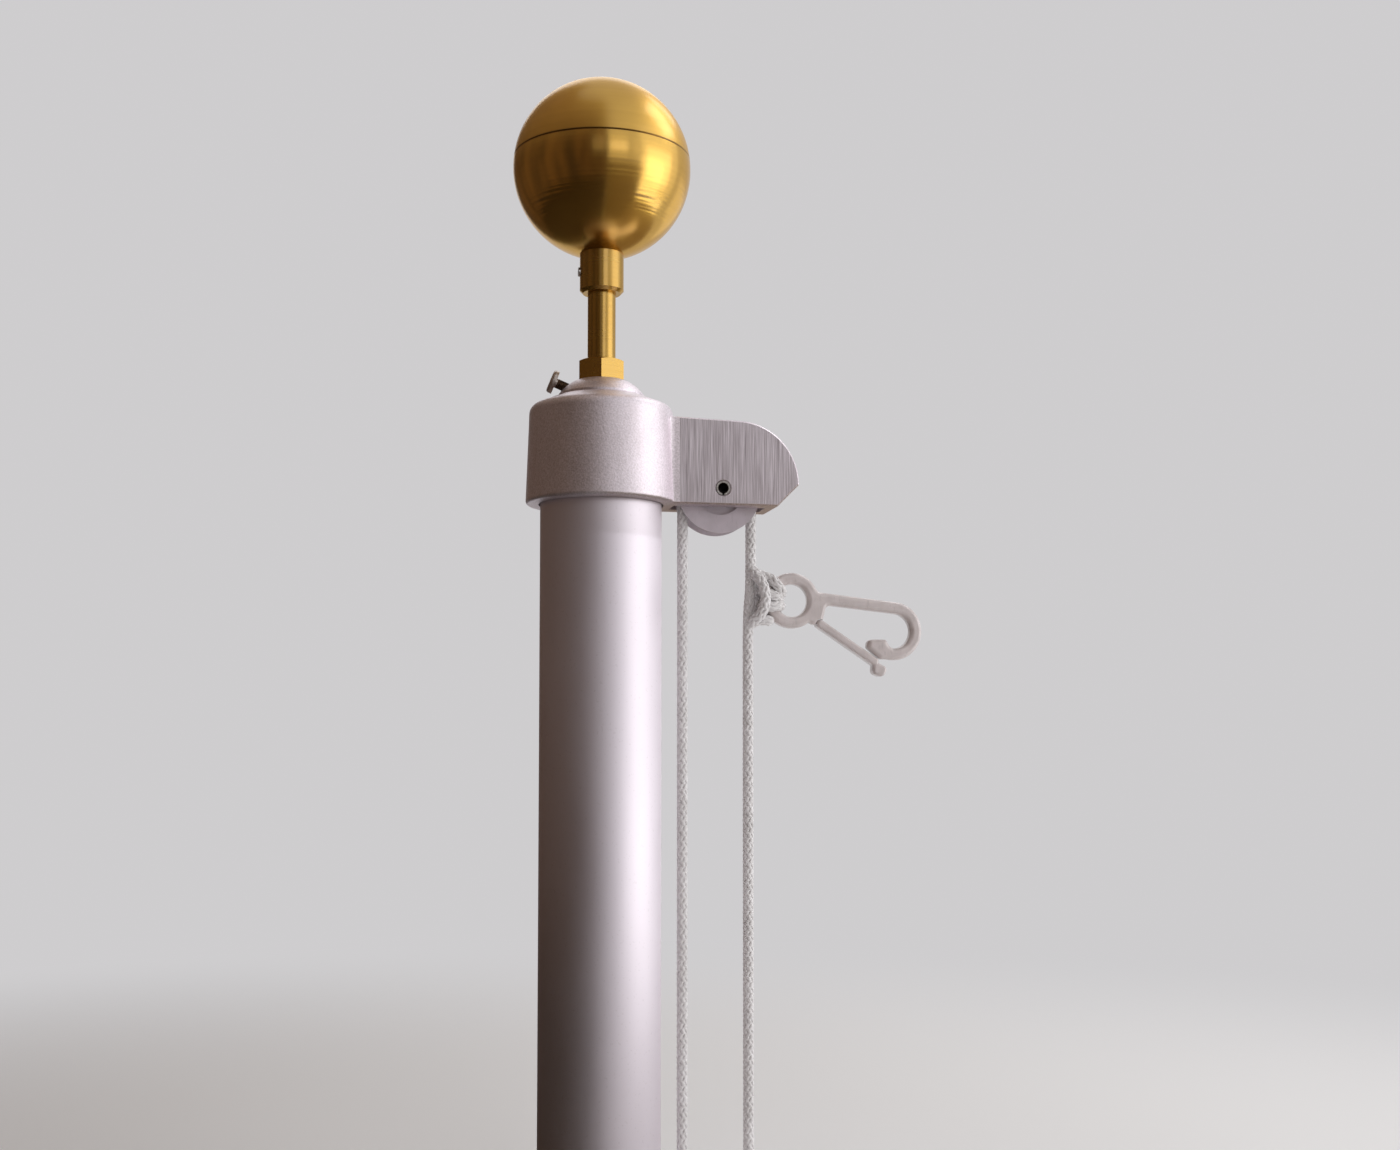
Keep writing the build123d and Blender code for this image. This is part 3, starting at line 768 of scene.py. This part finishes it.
def make_skirt_screw(material):
    """The set screw in the back of the skirt, which stands just proud of the casting."""
    low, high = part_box("skirt_set_screw")
    radius = (high[0] - low[0]) / 2
    middle_x, middle_z = (low[0] + high[0]) / 2, (low[2] + high[2]) / 2
    angles = circle(SKIRT_SCREW_SIDES)
    round_reach = [1.0] * SKIRT_SCREW_SIDES
    socket_reach = [hexagon_reach(angle) for angle in angles]
    sections = [
        (low[1], radius, round_reach),
        (SKIRT_SCREW_FACE_Y - SKIRT_SCREW_BREAK, radius, round_reach),
        (SKIRT_SCREW_FACE_Y, radius - SKIRT_SCREW_BREAK, round_reach),
        (SKIRT_SCREW_FACE_Y, SKIRT_SCREW_SOCKET_R, socket_reach),
        (SKIRT_SCREW_FACE_Y - SKIRT_SCREW_SOCKET_DEPTH, SKIRT_SCREW_SOCKET_R, socket_reach),
    ]
    rings = np.array([
        [(middle_x + size * reach * math.cos(angle), y, middle_z - size * reach * math.sin(angle))
         for angle, reach in zip(angles, reaches)]
        for y, size, reaches in sections])
    tubes = Tubes()
    tubes.add(rings, np.arange(len(sections)))
    screw = tubes.piece("skirt_screw", material, smooth=False)
    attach(screw, "pole")
    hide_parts("skirt_set_screw")


def stage_finish(name, colour):
    """A dull surface for the things round the object."""
    made = Finish(name, colour, metallic=0.0, roughness=STAGE_ROUGHNESS)
    made.set_inputs({"Specular IOR Level": STAGE_GLOSS})
    return made


def stage_mesh(name, points, faces, material):
    mesh = bpy.data.meshes.new(name)
    mesh.from_pydata(points, [], faces)
    mesh.materials.append(material)
    made = bpy.data.objects.new(name, mesh)
    bpy.context.scene.collection.objects.link(made)
    return made


def make_floor():
    """A pale floor that runs into the backdrop's colour far from the object."""
    made = stage_finish("floor", FLOOR_COLOUR)
    fade = made.span(made.vector("LENGTH", made.place), *FLOOR_FADE, curve="SMOOTHSTEP")
    glow = made.add("ShaderNodeEmission")
    made.feed(glow.inputs["Color"], BACKDROP_COLOUR)
    made.cover(fade, glow)
    corners = [(x * FLOOR_HALF, y * FLOOR_HALF, 0) for x, y in ((-1, -1), (1, -1), (1, 1), (-1, 1))]
    stage_mesh("floor", corners, [(0, 1, 2, 3)], made.material)


def around(turn_deg, away, rise):
    """A place at an angle round the pole, a distance from it and a height."""
    turn = math.radians(turn_deg)
    return (away * math.sin(turn), -away * math.cos(turn), rise)


def screen_material():
    """Brown cloth in upright folds, some darker than others, and paler towards the top."""
    made = stage_finish("dark_screen", SCREEN_DARK)
    folds = made.span(made.noise(SCREEN_FOLDS, detail=1.0), *SCREEN_FOLD_SHADES)
    cloth = made.colour(folds, SCREEN_DARK, SCREEN_WARM)
    made.paint(made.colour(made.span(made.axis("Z"), *SCREEN_FADE), cloth, SCREEN_CREST))
    return made.material


def make_screen():
    """A dark half dome to the left of the camera, which the metal reflects."""
    points, faces = [], []
    for ring in range(SCREEN_RINGS + 1):
        climb = math.radians(SCREEN_TOP_DEG) * ring / SCREEN_RINGS
        for turn_deg in np.linspace(SCREEN_FROM_DEG, SCREEN_TO_DEG, ROUND_STEPS + 1):
            points.append(around(turn_deg, SCREEN_R * math.cos(climb), SCREEN_HEIGHT * math.sin(climb)))
    row = ROUND_STEPS + 1
    for ring in range(SCREEN_RINGS):
        for step in range(ROUND_STEPS):
            first = ring * row + step
            faces.append((first, first + 1, first + row + 1, first + row))
    screen = stage_mesh("dark_screen", points, faces, screen_material())
    screen.visible_camera = False
    screen.visible_shadow = False


def make_mat(name, turns_deg, radii, rise, colour):
    """Part of a dull ring round the pole, seen only in reflections, and only from above."""
    points, faces = [], []
    for step, turn_deg in enumerate(np.linspace(*turns_deg, ROUND_STEPS + 1)):
        points += [around(turn_deg, radius, rise) for radius in radii]
        if step:
            inner, outer = 2 * step, 2 * step + 1
            faces.append((inner - 2, outer - 2, outer, inner))
    made = stage_finish(name, colour)
    from_below = made.add("ShaderNodeNewGeometry").outputs["Backfacing"]
    made.cover(from_below, made.add("ShaderNodeBsdfTransparent"))
    mat = stage_mesh(name, points, faces, made.material)
    mat.visible_camera = False
    mat.visible_diffuse = False
    mat.visible_shadow = False


def add_lamp(name, turn_deg, away, rise, size, power, on_metal_only=False):
    """A soft lamp that the camera doesn't see, and that may show in the metal's reflections alone."""
    lamp = bpy.data.lights.new(name, "AREA")
    lamp.shape = "RECTANGLE"
    lamp.size, lamp.size_y = size
    lamp.energy = power
    made = bpy.data.objects.new(name, lamp)
    made.location = around(turn_deg, away, rise)
    made.rotation_euler = (Vector(AIM) - made.location).to_track_quat("-Z", "Y").to_euler()
    made.visible_camera = False
    made.visible_diffuse = not on_metal_only
    bpy.context.scene.collection.objects.link(made)


def make_stage():
    """The backdrop, the floor, and all that lights the object or shows in its metal."""
    world = bpy.data.worlds.new("studio")
    world.use_nodes = True
    background = world.node_tree.nodes["Background"]
    background.inputs["Color"].default_value = (*BACKDROP_COLOUR, 1)
    background.inputs["Strength"].default_value = 1.0
    bpy.context.scene.world = world
    make_floor()
    make_screen()
    for name, mat in MATS.items():
        make_mat(name, **mat)
    for name, lamp in LAMPS.items():
        add_lamp(name, **lamp)
    bpy.context.scene.view_settings.view_transform = "Standard"


def make_camera():
    """The camera of the photo."""
    camera = bpy.data.cameras.new("photo_camera")
    camera.lens = CAMERA_LENS_MM
    camera.shift_y = CAMERA_SHIFT_UP
    camera.clip_start = CAMERA_NEAR
    made = bpy.data.objects.new("photo_camera", camera)
    made.location = CAMERA_AT
    made.rotation_euler = (math.radians(90 + CAMERA_PITCH_DEG), 0, math.radians(-CAMERA_YAW_DEG))
    bpy.context.scene.collection.objects.link(made)
    bpy.context.scene.camera = made


make_camera()
make_stage()
make_halyard(rope_finish())
dress(tube_finish(), "pole_tube")
dress(casting_finish(), "truck_casting")

spun_lower = gold_finish(
    "gold_spun_lower", depth=1.0, roughness=0.22, coat=SPUN_COAT,
    lines_apart=0.0018, stretch=0.6, ball=True)
spun_upper = gold_finish(
    "gold_spun_upper", depth=1.0, roughness=0.36, coat=SPUN_COAT,
    lines_apart=0.0022, stretch=0.4, ball=True)
turned = gold_finish(
    "gold_turned", depth=0.69, roughness=0.25, coat=TURNED_COAT,
    lines_apart=0.0014, stretch=0.3)
dress(spun_lower, "ball_lower_half")
dress(spun_upper, "ball_upper_half")
dress(turned, "spindle", "ball_collar", "spindle_nut")

plated_steel = steel_finish()
dress(plated_steel, "collar_set_screw")
make_skirt_screw(plated_steel)
dress(screw_finish(), "boss_clamp_screw")
dress(pin_finish(), "sheave_roll_pin")

grey_nylon = moulded_finish("grey_nylon", GREY_NYLON, GREY_NYLON_DULL, roughness=0.42, rim=0.1)
white_nylon = moulded_finish("white_nylon", WHITE_NYLON, WHITE_NYLON_DULL, roughness=0.2, rim=0.7)
dress(grey_nylon, "sheave")
dress(white_nylon, "snap_hook", "snap_hook_gate")
